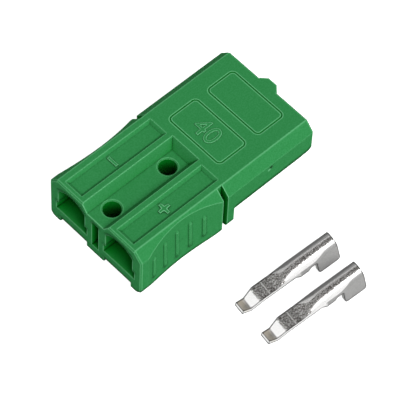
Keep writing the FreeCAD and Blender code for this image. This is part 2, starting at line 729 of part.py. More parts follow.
def barrel_loop(s, crest, corner):
    """The bent sheet of the barrel with its two sides, open below."""
    half, low = s.barrel_half, -s.wing_drop
    inset, spring = half - corner, crest - corner
    hollow, roof, bend = half - s.gauge, crest - s.gauge, s.hollow_corner
    inner, inner_spring = hollow - bend, roof - bend
    return [
        (-half, low), (-hollow, low), (-hollow, inner_spring, -inner, inner_spring, -1),
        (-inner, roof), (inner, roof, inner, inner_spring, -1), (hollow, inner_spring),
        (hollow, low), (half, low), (half, spring, inset, spring, 1),
        (inset, crest), (-inset, crest, -inset, spring, 1), (-half, spring),
    ]


def contact_barrel(body, s, tag):
    """The arched barrel, open below, which ends in two tall crimp wings."""
    sketches = [
        sketch_of(body, "BarrelStart" + tag, "YZ_Plane", s.arch_full,
                  barrel_loop(s, s.arch_crest, s.arch_corner)),
        sketch_of(body, "BarrelEnd" + tag, "YZ_Plane", s.contact_length,
                  barrel_loop(s, s.barrel_crest, s.barrel_corner)),
    ]
    loft(body, "Barrel" + tag, sketches, cuts=False)

    corner, low = s.wing_round, -s.wing_drop
    below, round_top = low - MARGIN, low + corner
    end, end_middle = s.contact_length, s.contact_length - corner
    wing, wing_middle = s.wing_start, s.wing_start + corner
    strip_low, strip_end = s.tongue_level - s.gauge, s.arch_full - s.gauge
    skirt_rise = s.skirt_drop - s.waist_drop
    trim = [
        (strip_end, below), (end + MARGIN, below), (end + MARGIN, round_top),
        (end, round_top, end_middle, round_top, -1), (end_middle, low),
        (wing_middle, low, wing_middle, round_top, -1), (wing, round_top),
        (wing, -s.waist_drop), (s.skirt_end + skirt_rise, -s.waist_drop),
        (s.skirt_end, -s.skirt_drop), (s.skirt_start, -s.skirt_drop),
        (s.arch_full, strip_low), (strip_end, strip_low),
    ]
    sketch = sketch_of(body, "WingSide" + tag, "XZ_Plane", 0, trim)
    pocket(body, "WingTrim" + tag, sketch, both_ways=True)


def contact_rest(s):
    """Pitch, and height of the tip's reference, of a contact that lies on its dip and wings."""
    dip_low = s.tongue_level.value - s.dip_drop.value - s.gauge.value
    run = s.wing_start.value + s.wing_round.value - s.dip_station.value
    rise = s.wing_round.value - s.wing_drop.value - dip_low
    pitch = math.asin(s.wing_round.value / math.hypot(run, rise)) - math.atan2(rise, run)
    height = -s.dip_station.value * math.sin(pitch) - dip_low * math.cos(pitch)
    return pitch, height


def make_contact(doc, s, side, dip_station, dip_offset):
    """A contact as it lies beside the housing, tip down, at its small turn."""
    body = doc.addObject("PartDesign::Body", "Contact" + side.title())
    body.Label = "contact_" + side
    contact_tongue(body, s, side.title())
    contact_slope(body, s, side.title())
    contact_barrel(body, s, side.title())
    pitch, height = contact_rest(s)
    turn = math.radians(s.contact_turn.value)
    run = s.dip_station.value * math.cos(pitch)
    origin = (s.hole_first + s.hole_spacing / 2).value
    place = FreeCAD.Vector(dip_station.value - run * math.cos(turn) - origin,
                           -dip_offset.value - run * math.sin(turn), height)
    turned = FreeCAD.Rotation(FreeCAD.Vector(0, 0, 1), s.contact_turn.value)
    pitched = FreeCAD.Rotation(FreeCAD.Vector(0, 1, 0), -math.degrees(pitch))
    body.Placement = FreeCAD.Placement(place, turned * pitched)
    return body


def place_in_row(body, s):
    """Moves a body from stations to the row's frame, whose origin is between the holes."""
    bind_place = -(s.hole_first + s.hole_spacing / 2)
    body.Placement.Base.x = bind_place.value
    body.setExpression("Placement.Base.x", bind_place.formula)


def check_document(doc, parts):
    for thing in doc.Objects:
        if "Invalid" in thing.State or "Error" in thing.State:
            raise RuntimeError("%s failed: %s" % (thing.Name, thing.State))
    for part in parts:
        if part.Shape.isNull() or not part.Shape.isValid() or len(part.Shape.Solids) != 1:
            raise RuntimeError("%s is not one valid solid" % part.Label)


def main():
    doc = FreeCAD.newDocument("GenderlessPowerConnector")
    s = make_sheet(doc)
    housing = make_housing(doc, s)
    springs = [make_leaf_spring(doc, s, side) for side in SIDES]
    for body in [housing] + springs:
        place_in_row(body, s)
    contacts = [
        make_contact(doc, s, "left", s.near_dip_station, s.near_dip_offset),
        make_contact(doc, s, "right", s.far_dip_station, s.far_dip_offset),
    ]
    doc.recompute()
    parts = [housing] + springs + contacts
    check_document(doc, parts)
    os.makedirs("parts", exist_ok=True)
    for part in parts:
        part.Shape.exportStep("parts/%s.step" % part.Label)
        box = part.Shape.BoundBox
        print("%-22s volume %8.1f  x %7.2f %7.2f  y %7.2f %7.2f  z %6.2f %6.2f" % (
            part.Label, part.Shape.Volume, box.XMin, box.XMax, box.YMin, box.YMax, box.ZMin, box.ZMax))


main()
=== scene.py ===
import math

import bmesh
import bpy
from mathutils import Euler, Matrix, Vector


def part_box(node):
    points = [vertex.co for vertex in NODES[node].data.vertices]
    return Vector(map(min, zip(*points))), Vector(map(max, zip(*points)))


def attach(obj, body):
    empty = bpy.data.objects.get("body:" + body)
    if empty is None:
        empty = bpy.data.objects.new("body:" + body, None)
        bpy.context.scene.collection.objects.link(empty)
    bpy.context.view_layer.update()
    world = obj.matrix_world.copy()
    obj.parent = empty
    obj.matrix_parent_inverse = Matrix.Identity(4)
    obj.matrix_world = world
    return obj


bl_info = {
    "name": "Genderless Power Connector",
    "version": (1, 0, 0),
    "blender": (4, 5, 0),
    "location": "3D View > Sidebar > Connector",
    "description": "Finishes, marks and studio for a two-pole genderless power connector",
    "category": "Object",
}

# The frame holds the connector's solids in metres: the housing, the two leaf springs inside it
# and the two contacts that lie beside it. +X points to the mating end and +Z up.
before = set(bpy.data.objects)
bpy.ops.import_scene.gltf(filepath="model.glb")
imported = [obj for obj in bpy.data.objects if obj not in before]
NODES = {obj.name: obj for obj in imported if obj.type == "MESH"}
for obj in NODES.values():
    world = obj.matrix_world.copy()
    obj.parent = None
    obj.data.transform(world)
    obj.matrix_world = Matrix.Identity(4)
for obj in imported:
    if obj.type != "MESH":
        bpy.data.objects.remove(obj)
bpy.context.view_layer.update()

MM = 0.001
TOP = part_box("housing")[1][2]
PANEL_DEPTH = 0.8 * MM
PANEL_FLOOR = TOP - PANEL_DEPTH
MERGE_DISTANCE = 0.002 * MM

# Heights, in metres, over which the top of the housing begins. The first pair takes in its
# edges and the frames' shallow grooves, and the second only the flat top itself.
TOP_EDGES = (TOP - 0.5 * MM, TOP - 0.3 * MM)
TOP_FLAT = (TOP - 0.06 * MM, TOP - 0.01 * MM)

# The nick in the hood's side: painted shade in its hollow and a painted highlight on its lip,
# in millimetres, with their radius and the share of paint that they get.
NICK_HOLLOW = ((27.75, -16, 12.8), 0.7, 0.85)
NICK_LIP = ((27.1, -16, 12.2), 0.65, 0.5)

# Shares of shelter, as the occlusion node gives them, at which a tone starts and is full.
EDGE_SHELTER = (0.01, 0.16)
CORNER_SHELTER = (0.04, 0.36)
FINE_CORNER_SHELTER = (0.03, 0.20)
MOUTH_SHELTER = (0.26, 0.62)
HOLE_SHELTER = (0.76, 0.95)
FAR_EDGE_SHELTER = (0.05, 0.32)
WING_EDGE_SHELTER = (0.04, 0.26)
FOOT_EDGE_SHELTER = (0.12, 0.32)

# Upright part of a normal at which a tone starts and is full: on the rounded foot of a wall,
# and on a nearly level face. Then how far a rounded normal turns before it marks an edge.
FOOT_LEAN = (0.01, 0.09)
LEVEL_LEAN = (0.3, 0.6)
LEAST_TURN = 0.002

# Levels of the noises at which a tone starts and is full.
GRAIN_LEVELS = (0.2, 0.9)
SPECKLE_LEVELS = (0.34, 0.68)
RUBBED_LEVELS = (0.45, 0.59)

# Half the width of a long ridge's painted highlight, in millimetres, where it ends and where it
# is full.
RIDGE_WIDTH = (0.26, 0.04)

# Share of a round patch's radius within which it is full.
PATCH_MIDDLE = 0.4

# How each loose contact lies: the point under its tip in millimetres, its turn about the
# vertical and its pitch.
CONTACT_PLACES = {
    "contact_left": (0.2886, -34.4109, 1.7419),
    "contact_right": (-0.8614, -44.4609, 1.7419),
}
CONTACT_TURN = math.radians(-8.1)
CONTACT_PITCH = math.radians(12.285)

# The zones of painted reflection and shade on a contact, in millimetres along it from that
# point, aside from its middle and above it. A pair says where a zone starts and where it is full,
# and a fade does so from the zone's border.
TIP_START = (0.25, 0.42)
TIP_END = (1.45, 1.65)
RUBBED_REFLECTION_START = (4.35, 4.75)
COINED_STATION = 7.6
COINED_WIDTH = (0.26, 0.06)
COINED_REACH = (2.1, 1.9)
GLEAM_START = (9.2, 10.0)
GLEAM_OFFSET = 0.16
GLEAM_WIDTH = (0.24, 0.04)
WING_START = (15.9, 16.7)
NEAR_FADE = (-0.1, 0.15)
FAR_FADE = (-0.06, 0.06)

# Limits that shift along a contact: the first value, then rises between two stations.
NEAR_LIMIT = (-2.45, (10.9, 13.6, 1.12), (18.0, 21.5, 0.20))
FAR_LIMIT = (2.45, (9.2, 13.2, -2.35))
WING_TOP = (0.2, (19.5, 25.0, 1.35))

# Directions that an edge line looks away from: it then shows the edges on the other side.
FROM_NEAR_SIDE = (-0.3, -0.6, 0.75)
FROM_ABOVE = (0.0, -0.1, 1.0)

# Cards above and behind the part, in metres, each with its colour, and cards beside each
# contact, in millimetres from the point under its tip, each with its grey.
CARDS = (
    ("crest_card", ((-0.42, 0.225, 0.5), (0.34, 0.225, 0.5), (0.34, -0.24, 0.5),
                    (-0.42, -0.24, 0.5)), (0.33, 0.325, 0.32)),
    ("high_card", ((-0.42, 0.52, 0.5), (0.34, 0.52, 0.5), (0.34, 0.265, 0.5),
                   (-0.42, 0.265, 0.5)), (0.27, 0.27, 0.27)),
    ("warm_card", ((0.34, 0.6, 0.5), (0.9, 0.6, 0.3), (0.9, -0.1, 0.3),
                   (0.34, -0.1, 0.5)), (0.44, 0.41, 0.37)),
    ("far_card", ((-0.42, 0.75, 0.02), (0.6, 0.75, 0.02), (0.6, 0.52, 0.5),
                  (-0.42, 0.52, 0.5)), (0.27, 0.27, 0.27)),
)
CONTACT_CARDS = (
    ("card_behind_", ((8, 4.2, -1.7), (45, 4.2, -1.7), (45, 4.2, 9), (8, 4.2, 9)), 0.15),
    ("card_before_", ((45, -5, -1.7), (-4, -5, -1.7), (-4, -5, 12), (45, -5, 12)), 1.0),
)


def length(label, value, description):
    """A size in metres."""
    return bpy.props.FloatProperty(name=label, description=description, default=value,
                                   precision=6, subtype="DISTANCE", unit="LENGTH")


def share(label, value, description):
    """A strength from 0 to 1."""
    return bpy.props.FloatProperty(name=label, description=description, default=value,
                                   min=0.0, max=1.0, subtype="FACTOR")


def times(label, value, description):
    """A factor that may be above 1."""
    return bpy.props.FloatProperty(name=label, description=description, default=value,
                                   min=0.0, subtype="NONE")


def colour(label, value, description):
    """A colour in linear light."""
    return bpy.props.FloatVectorProperty(name=label, description=description, default=value,
                                         size=3, min=0.0, max=1.0, subtype="COLOR")


class HousingFinish(bpy.types.PropertyGroup):
    green: colour("Green", (0.0265, 0.2200, 0.0590), "Colour of the moulded plastic")
    pale: colour("Pale Green", (0.0480, 0.2850, 0.0960), "Colour of the flow marks")
    # Painted highlight: the pale green along the raised edges, the long ridges and the nick's
    # lip.
    painted_light: colour("Worn Green", (0.1900, 0.6000, 0.2900), "Colour along the raised edges")
    # Painted shade: the darker green inside the mouths and slots, and the near black deep in
    # holes, in corners and along the feet.
    mouth_shade: colour("Rich Green", (0.0020, 0.2050, 0.0150), "Colour inside the mouths and slots")
    deep: colour("Deep Green", (0.0008, 0.0180, 0.0010), "Colour deep in holes and corners")
    roughness: share("Roughness", 0.5, "Roughness of the moulded surface")
    gloss: share("Gloss", 0.002, "How much the plastic mirrors")
    grain: length("Grain", 0.16 * MM, "Size of the fine moulded grain")
    grain_height: length("Grain Height", 0.006 * MM, "Height of the moulded grain")
    grain_roughness: share("Grain Roughness", 0.16, "How far the grain varies the roughness")
    speckle: length("Speckle", 0.368 * MM, "Size of the pale speckle")
    speckle_tone: share("Speckle Tone", 0.45, "Strength of the pale speckle")
    flow: length("Flow", 6 * MM, "Size of the flow marks")
    flow_tone: share("Flow Tone", 0.12, "Strength of the flow marks")
    edge: length("Edge Radius", 0.16 * MM, "Radius that the moulded edges show")
    # The pale lines below are painted highlights.
    rim: length("Rim", 0.29 * MM, "Reach of the pale line along outer edges")
    rim_tone: share("Rim Tone", 0.55, "Strength of the pale line along outer edges")
    mark_rim: length("Mark Rim", 0.2465 * MM, "Reach of the pale line along the marks")
    mark_tone: share("Mark Tone", 0.75, "Strength of the pale line along the marks")
    ridge: length("Ridge", 13.42 * MM, "Distance of the long worn ridges from the middle")
    ridge_tone: share("Ridge Tone", 0.7, "Strength of the long worn ridges")
    # The darkness and the lines below are painted shade.
    foot: length("Foot", 1.7 * MM, "Reach of the darkness along the lowest edges")
    foot_tone: share("Foot Tone", 0.7, "Strength of the darkness along the lowest edges")
    crease: length("Crease", 0.55 * MM, "Reach of the dark line along inner corners")
    fine_crease: length("Fine Crease", 0.2475 * MM, "Reach of the fine dark line in corners")
    crease_tone: share("Crease Tone", 0.54, "Strength of the dark line along inner corners")
    groove_tone: share("Groove Tone", 0.12, "Strength of that line in the frames' grooves")
    cavity: length("Cavity", 14.0 * MM, "Reach of the darkness deep in the holes")
    cavity_tone: share("Cavity Tone", 0.95, "Strength of the darkness deep in the holes")


class ContactFinish(bpy.types.PropertyGroup):
    tin: colour("Tin", (0.97, 0.965, 0.955), "Colour of the bright tin plating")
    # Painted reflection: the crimp wings' flat sides are painted a darker grey.
    wing_grey_reflection: colour("Dull Tin", (0.36, 0.358, 0.352), "Colour of the crimp wings' flat sides")
    # Painted shade: the tip is painted a little darker and warmer than the plating.
    warm: colour("Warm Tin", (0.85, 0.83, 0.77), "Colour of the tip, which is worn")
    # Painted reflection: near black grains over the top stand in for a shadowy reflection.
    rubbed_reflection: colour("Rubbed Tin", (0.11, 0.098, 0.088), "Dark grains of the rubbed top")
    # Painted shade: the near black lines along the edges.
    painted_shade: colour("Dark Tin", (0.06, 0.06, 0.06), "Colour along the sheared edges")
    roughness: share("Roughness", 0.16, "Roughness of the plating")
    wing_roughness: share("Wing Roughness", 0.30, "Roughness that the wings add")
    rubbed_roughness: share("Rubbed Roughness", 0.12, "Roughness that the rubbed top adds")
    grain_roughness: share("Grain Roughness", 0.08, "How far the grain varies the roughness")
    gleam: share("Gleam", 0.05, "Roughness that the gleam beside the rubbed band takes away")
    grain: length("Grain", 0.22 * MM, "Size of the plating's grain")
    grain_height: length("Grain Height", 0.010 * MM, "Height of the plating's grain")
    plain_relief: share("Plain Relief", 0.35, "Share of the grain's height on plain tin")
    rubbed_relief: times("Rubbed Relief", 2.2, "Times the grain's height on the rubbed top")
    drawn: length("Drawn Lines", 0.176 * MM, "Width of the lines drawn along the strip")
    drawn_relief: share("Drawn Relief", 0.35, "Share of the grain's height in drawn lines")
    speckle: length("Speckle", 0.30 * MM, "Size of the dark grains of the rubbed top")
    wing_speckle: share("Wing Speckle", 0.14, "Strength of the bright grains on the wings")
    coined_tone: share("Coined Tone", 0.85, "Brightness of the coined line across the tongue")
    coined_relief: times("Coined Relief", 5.0, "Times the grain's height in the coined line")
    edge: length("Edge Radius", 0.25 * MM, "Radius that the stamped edges show")
    far_edge: length("Far Edge", 0.33 * MM, "Reach of the dark line along the far edges")
    wing_edge: length("Wing Edge", 0.30 * MM, "Reach of the dark line around the wings")
    foot_edge: length("Foot Edge", 0.55 * MM, "Reach of the dark line along the lower edges")
    edge_tone: share("Edge Tone", 0.92, "Strength of the dark lines")
    steel: colour("Steel", (0.50, 0.50, 0.51), "Colour of the leaf springs")
    rolled: length("Rolled Lines", 0.09 * MM, "Width of the lines rolled into the springs")
    rolled_height: length("Rolled Height", 0.004 * MM, "Height of the rolled lines")
    rolled_roughness: share("Rolled Roughness", 0.12, "How far those lines vary the roughness")
    spring_roughness: share("Spring Roughness", 0.26, "Roughness of the leaf springs")
    spring_edge: length("Spring Edge", 0.1 * MM, "Radius that the springs' edges show")
    spring_turn: share("Spring Turn", 0.12, "Turn of the normal at which an edge is brightest")
    stain: length("Stain", 2.5 * MM, "Size of the springs' lighter patches")
    stain_and_highlight_tone: share("Stain Tone", 0.3, "Brightness of those patches and of the edges")


class MarkSizes(bpy.types.PropertyGroup):
    number: bpy.props.StringProperty(name="Number", description="Plain number in the front frame",
                                     default="40")
    number_size: length("Number Size", 7.2 * MM, "Type size of the number")
    number_station: length("Number Station", 19.25 * MM, "Where the number's foot line lies")
    stroke: length("Stroke", 3.3 * MM, "Length of a pole mark's strokes")
    width: length("Stroke Width", 0.85 * MM, "Width of a pole mark's strokes")
    raised: length("Raised", 0.24 * MM,
                   "How far the pole marks stand out. The number stands out less, by the bevel")
    bevel: length("Bevel", 0.11 * MM, "Bevel along the marks' upper edges")
    station: length("Mark Station", -0.6 * MM, "Where the pole marks lie along the housing")
    offset: length("Mark Offset", 8.97 * MM, "Distance of the pole marks from the middle")


class StudioSetup(bpy.types.PropertyGroup):
    camera: bpy.props.FloatVectorProperty(
        name="Camera", description="Place of the camera", size=3, subtype="TRANSLATION",
        unit="LENGTH", precision=5, default=(-0.26318, -0.27592, 0.58516))
    aim: bpy.props.FloatVectorProperty(
        name="Aim", description="Turn of the camera", size=3, subtype="EULER", unit="ROTATION",
        default=(math.radians(33.4944), math.radians(-1.7111), math.radians(-43.2096)))
    lens: bpy.props.FloatProperty(name="Lens", description="Focal length of the camera",
                                  default=261.958, unit="CAMERA")
    sky: share("Sky", 0.52, "Strength of the soft light all round")
    sky_lean: share("Sky Lean", 0.7, "How much the soft light comes from the right side")
    key: times("Key", 1.95, "Strength of the large soft lamp")
    key_size: bpy.props.FloatProperty(name="Key Size", description="How wide the lamp looks",
                                      default=math.radians(30), subtype="ANGLE",
                                      unit="ROTATION")
    key_from: bpy.props.FloatVectorProperty(name="Key From", size=3, subtype="DIRECTION",
                                            description="Where the large soft lamp stands",
                                            default=(-0.15, -0.62, 0.77))
    floor: length("Floor", 3.0, "Half the width of the floor")
    floor_tone: share("Floor Tone", 0.69, "How much light the floor gives back")
    floor_glow: share("Floor Glow", 0.2, "Brightness added wherever the floor is seen")
    floor_white: share("Floor White", 0.65, "Brightness added where the camera sees it")


class Wire:
    """One output of a shader node. Arithmetic on it adds the Math nodes that it stands for."""

    def __init__(self, paint, socket):
        self.paint, self.socket = paint, socket

    def maths(self, operation, *values):
        sockets = dict(enumerate(values))
        return self.paint.node("ShaderNodeMath", {"operation": operation}, sockets)

    def __add__(self, other):
        return self.maths("ADD", self, other)

    def __sub__(self, other):
        return self.maths("SUBTRACT", self, other)

    def __rsub__(self, other):
        return self.maths("SUBTRACT", other, self)

    def __mul__(self, other):
        return self.maths("MULTIPLY", self, other)

    def __neg__(self):
        return self.maths("MULTIPLY", self, -1.0)

    __radd__ = __add__
    __rmul__ = __mul__

    def absolute(self):
        return self.maths("ABSOLUTE", self)

    def larger(self, other):
        return self.maths("MAXIMUM", self, other)


class Paint:
    """One material, or the world, built node by node."""

    def __init__(self, name, owner=None):
        self.material = owner or bpy.data.materials.new(name)
        self.material.use_nodes = True
        self.tree = self.material.node_tree
        self.tree.nodes.clear()

    def node(self, kind, settings=None, sockets=None, output=0):
        """A node of a type, with its settings and then the values or links of its sockets."""
        node = self.tree.nodes.new(kind)
        for name, value in (settings or {}).items():
            setattr(node, name, value)
        for key, value in (sockets or {}).items():
            if isinstance(value, Wire):
                self.tree.links.new(value.socket, node.inputs[key])
            else:
                node.inputs[key].default_value = value
        return Wire(self, node.outputs[output])

    def place(self, location=(0, 0, 0), turn=(0, 0, 0)):
        """Object coordinates, in metres, seen from a place on the piece."""
        coordinates = self.node("ShaderNodeTexCoord", output="Object")
        return self.node("ShaderNodeMapping", {"vector_type": "TEXTURE"}, {
            "Vector": coordinates, "Location": location, "Rotation": turn})

    def part(self, vector, axis):
        """One part of a vector, X, Y or Z."""
        return self.node("ShaderNodeSeparateXYZ", None, {"Vector": vector}, output=axis)

    def direction(self, x, y, z):
        """A fixed direction as a normal."""
        return self.node("ShaderNodeCombineXYZ", None, {"X": x, "Y": y, "Z": z})

    def noise(self, vector, size, detail=2.0, roughness=0.5, stretch=(1, 1, 1)):
        """Even noise whose blobs are about this many metres across."""
        stretched = self.node("ShaderNodeVectorMath", {"operation": "MULTIPLY"},
                              {0: vector, 1: stretch})
        return self.node("ShaderNodeTexNoise", {"noise_dimensions": "3D"}, {
            "Vector": stretched, "Scale": 1.0 / size, "Detail": detail, "Roughness": roughness})

    def ramp(self, value, low, high):
        """0 below the low value and 1 above the high one, smooth between."""
        return self.node("ShaderNodeMapRange", {"interpolation_type": "SMOOTHSTEP"}, {
            "Value": value, "From Min": low, "From Max": high})

    def fade(self, value, limits):
        """A ramp on a length, with its limits in millimetres."""
        return self.ramp(value, *(limit * MM for limit in limits))

    def stripe(self, offset, limits):
        """0 where an offset is past the outer limit and 1 within the inner one."""
        return self.fade(-offset.absolute(), [-limit for limit in limits])

    def patch(self, spot, middle, radius):
        """A round patch around a place, both in millimetres."""
        away = self.node("ShaderNodeVectorMath", {"operation": "DISTANCE"},
                         {0: spot, 1: [value * MM for value in middle]}, output="Value")
        return self.stripe(away, (radius, radius * PATCH_MIDDLE))

    def path(self, along, first, *rises):
        """A limit from its first value and its rises between stations, in millimetres."""
        limit = first * MM
        for low, high, rise in rises:
            limit = self.fade(along, (low, high)) * (rise * MM) + limit
        return limit

    def mix(self, factor, first, second):
        """One colour laid over another by a factor."""
        def full(value):
            return value if isinstance(value, Wire) else (*value, 1.0)
        return self.node("ShaderNodeMix", {"data_type": "RGBA"}, {
            "Factor": factor, "A": full(first), "B": full(second)}, output="Result")

    def bump(self, height, distance, normal):
        """Normals that show a height, given in parts of a distance."""
        return self.node("ShaderNodeBump", None, {
            "Height": height, "Distance": distance, "Strength": 1.0, "Normal": normal})

    def true_normal(self):
        """The flat faces' own normals."""
        return self.node("ShaderNodeNewGeometry", output="True Normal")

    def rounded(self, radius):
        """Normals that turn smoothly over the edges."""
        return self.node("ShaderNodeBevel", {"samples": 6}, {"Radius": radius})

    def turned(self, rounded, full):
        """0 on flat faces and 1 where rounded normals have turned by the full amount."""
        agree = self.node("ShaderNodeVectorMath", {"operation": "DOT_PRODUCT"},
                          {0: rounded, 1: self.true_normal()}, output="Value")
        return self.ramp(1.0 - agree, LEAST_TURN, full)

    def shelter(self, reach, normal=None, **settings):
        """0 on open ground and towards 1 where walls stand within reach."""
        sockets = {"Distance": reach}
        if normal is not None:
            sockets["Normal"] = normal
        return 1.0 - self.node("ShaderNodeAmbientOcclusion", {"samples": 8, **settings},
                               sockets, output="AO")

    def rim(self, reach, limits, away=None):
        """A line along the outer edges, where another face is within reach through the solid.
        A direction to look away from keeps only the edges on its far side."""
        normal = None if away is None else self.direction(*away)
        return self.ramp(self.shelter(reach, normal, inside=True, only_local=True), *limits)

    def surface(self, **sockets):
        """The finished surface. Names of sockets are written with _ for each space."""
        named = {key.replace("_", " "): value for key, value in sockets.items()}
        self.close(self.node("ShaderNodeBsdfPrincipled", None, named))
        return self.material

    def ray(self, name):
        """1 for one kind of ray and 0 for all others."""
        return self.node("ShaderNodeLightPath", output=name)

    def seen(self):
        """1 where the camera, a reflection or glass sees it, and 0 for the light it gives."""
        straight = self.ray("Is Camera Ray").larger(self.ray("Is Glossy Ray"))
        return straight.larger(self.ray("Is Transmission Ray"))

    def close(self, shader):
        """Ends the tree in this shader."""
        kind = "World" if isinstance(self.material, bpy.types.World) else "Material"
        output = self.tree.nodes.new("ShaderNodeOutput" + kind)
        self.tree.links.new(shader.socket, output.inputs["Surface"])


def green_plastic(finish, name, rim, rim_tone):
    """Matte moulded plastic: fine grain and flow marks, painted highlights along the edges and
    painted shade in corners and holes.
    """
    paint = Paint(name)
    spot = paint.place()
    aside, above = paint.part(spot, "Y"), paint.part(spot, "Z")
    near_top = paint.ramp(above, *TOP_EDGES)

    grain = paint.noise(spot, finish.grain, detail=3.0, roughness=0.6)
    speckle = paint.ramp(paint.noise(spot, finish.speckle), *SPECKLE_LEVELS)
    flow = paint.noise(spot, finish.flow, detail=3.0, stretch=(0.5, 1.0, 1.0))
    marbled = speckle * finish.speckle_tone + flow * finish.flow_tone
    body = paint.mix(marbled, finish.green, finish.pale)

    # Painted highlights run as pale lines along the outer edges and the two long ridges, but not
    # along the feet.
    foot = paint.ramp(-paint.part(paint.rounded(finish.foot), "Z"), *FOOT_LEAN)
    underneath = paint.ramp(-paint.part(paint.true_normal(), "Z"), *LEVEL_LEAN)
    foot = foot * (1.0 - underneath)
    ridge = paint.stripe(aside.absolute() - finish.ridge, RIDGE_WIDTH) * near_top
    edges = paint.rim(rim, EDGE_SHELTER).larger(ridge * finish.ridge_tone)
    body = paint.mix(edges * (1.0 - foot) * rim_tone, body, finish.painted_light)

    # Painted shade: the mouths are a darker, more saturated green inside, and the holes nearly
    # black.
    cavity = paint.shelter(finish.cavity, only_local=True)
    body = paint.mix(paint.ramp(cavity, *MOUTH_SHELTER), body, finish.mouth_shade)
    body = paint.mix(paint.ramp(cavity, *HOLE_SHELTER) * finish.cavity_tone, body, finish.deep)

    # Painted shade runs along the inner corners and the feet. The frames' grooves have less.
    crease = paint.ramp(paint.shelter(finish.crease), *CORNER_SHELTER)
    fine_crease = paint.ramp(paint.shelter(finish.fine_crease), *FINE_CORNER_SHELTER)
    groove = near_top * (1.0 - paint.ramp(above, *TOP_FLAT))
    tone = finish.crease_tone - groove * (finish.crease_tone - finish.groove_tone)
    corners = crease.larger(fine_crease) * tone
    body = paint.mix(corners.larger(foot * finish.foot_tone), body, finish.deep)

    # Painted highlight on the nick's lip and painted shade in its hollow.
    for nick, shade in ((NICK_LIP, finish.painted_light), (NICK_HOLLOW, finish.deep)):
        middle, radius, strength = nick
        body = paint.mix(paint.patch(spot, middle, radius) * strength, body, shade)

    spread = finish.grain_roughness
    return paint.surface(
        Base_Color=body,
        Roughness=paint.ramp(grain, *GRAIN_LEVELS) * spread + (finish.roughness - spread / 2),
        Specular_IOR_Level=finish.gloss,
        Normal=paint.bump(grain, finish.grain_height, paint.rounded(finish.edge)))


def tinned_copper(finish, name, place):
    """Bright tin over copper, with painted reflections on the grainy top and the crimp wings, and
    painted shade on the tip and along the edges.
    """
    paint = Paint("tinned_copper_" + name)
    spot = paint.place([value * MM for value in place], (0, -CONTACT_PITCH, CONTACT_TURN))
    along, aside, above = (paint.part(spot, axis) for axis in "XYZ")
    peel = paint.noise(spot, finish.grain, detail=3.0, roughness=0.65)
    drawn = paint.noise(spot, finish.drawn, stretch=(0.08, 1.0, 1.0))
    grains = paint.noise(spot, finish.speckle, detail=4.0, roughness=0.8)
    grains = paint.ramp(grains, *RUBBED_LEVELS)

    # The top's painted reflection, speckled in near black, is as wide as the tongue and runs on
    # as a band along the barrel's crest, with a gleam along its far side.
    far_limit = paint.path(along, *FAR_LIMIT)
    rubbed_reflection = paint.fade(along, RUBBED_REFLECTION_START)
    rubbed_reflection = rubbed_reflection * paint.fade(aside - paint.path(along, *NEAR_LIMIT), NEAR_FADE)
    rubbed_reflection = rubbed_reflection * paint.fade(far_limit - aside, FAR_FADE)
    rubbed_reflection = rubbed_reflection * paint.ramp(paint.part(paint.true_normal(), "Z"), *LEVEL_LEAN)
    gleam = paint.stripe(aside - far_limit - GLEAM_OFFSET * MM, GLEAM_WIDTH)
    gleam = gleam * paint.fade(along, GLEAM_START)
    coined = paint.stripe(along - COINED_STATION * MM, COINED_WIDTH)
    coined = coined * paint.stripe(aside, COINED_REACH)

    # Painted reflection: the crimp wings get a darker grey.
    wing = paint.fade(paint.path(along, *WING_TOP) - above, NEAR_FADE)
    wing = wing * paint.fade(along, WING_START)
    # Painted shade on the tip.
    tip = paint.fade(along, TIP_START) * (1.0 - paint.fade(along, TIP_END))

    # Painted shade: edges below and on the far side show a near black line, and the wings show
    # one all round.
    edges = paint.rim(finish.far_edge, FAR_EDGE_SHELTER, FROM_NEAR_SIDE)
    edges = edges.larger(paint.rim(finish.wing_edge, WING_EDGE_SHELTER) * wing)
    edges = edges.larger(paint.rim(finish.foot_edge, FOOT_EDGE_SHELTER, FROM_ABOVE))

    # Painted reflections on the wings and the top, and painted shade on the tip and along the
    # edges.
    wing_reflection = paint.mix(grains * finish.wing_speckle, finish.wing_grey_reflection, finish.tin)
    painted_light = paint.mix(grains, finish.rubbed_reflection, finish.tin)
    body = paint.mix(wing, finish.tin, wing_reflection)
    body = paint.mix(tip, body, finish.warm)
    body = paint.mix(rubbed_reflection * (1.0 - coined * finish.coined_tone), body, painted_light)
    body = paint.mix(edges * finish.edge_tone, body, finish.painted_shade)
    rough = wing * finish.wing_roughness + rubbed_reflection * finish.rubbed_roughness
    rough = rough + peel * finish.grain_roughness + finish.roughness - gleam * finish.gleam
    height = peel * (finish.plain_relief + rubbed_reflection * finish.rubbed_relief)
    height = height + drawn * finish.drawn_relief + coined * finish.coined_relief
    return paint.surface(
        Base_Color=body,
        Metallic=1.0,
        Roughness=rough,
        Normal=paint.bump(height, finish.grain_height, paint.rounded(finish.edge)))


def spring_steel(finish):
    """Rolled spring steel with fine lines along the leaf."""
    paint = Paint("spring_steel")
    spot = paint.place()
    lines = paint.noise(spot, finish.rolled, detail=3.0, stretch=(0.05, 1.0, 1.0))
    stain = paint.noise(spot, finish.stain, detail=3.0)
    rounded = paint.rounded(finish.spring_edge)
    edges = paint.turned(rounded, finish.spring_turn)
    # The lighter patches are stains, and the lighter edges a painted highlight.
    bright = stain * finish.stain_and_highlight_tone + edges * finish.stain_and_highlight_tone
    return paint.surface(
        Base_Color=paint.mix(bright, finish.steel, finish.tin),
        Metallic=1.0,
        Roughness=finish.spring_roughness + lines * finish.rolled_roughness,
        Normal=paint.bump(lines, finish.rolled_height, rounded))


def finish_node(name, material):
    """Gives a node of the frame its material."""
    slots = NODES[name].data.materials
    slots.clear()
    slots.append(material)


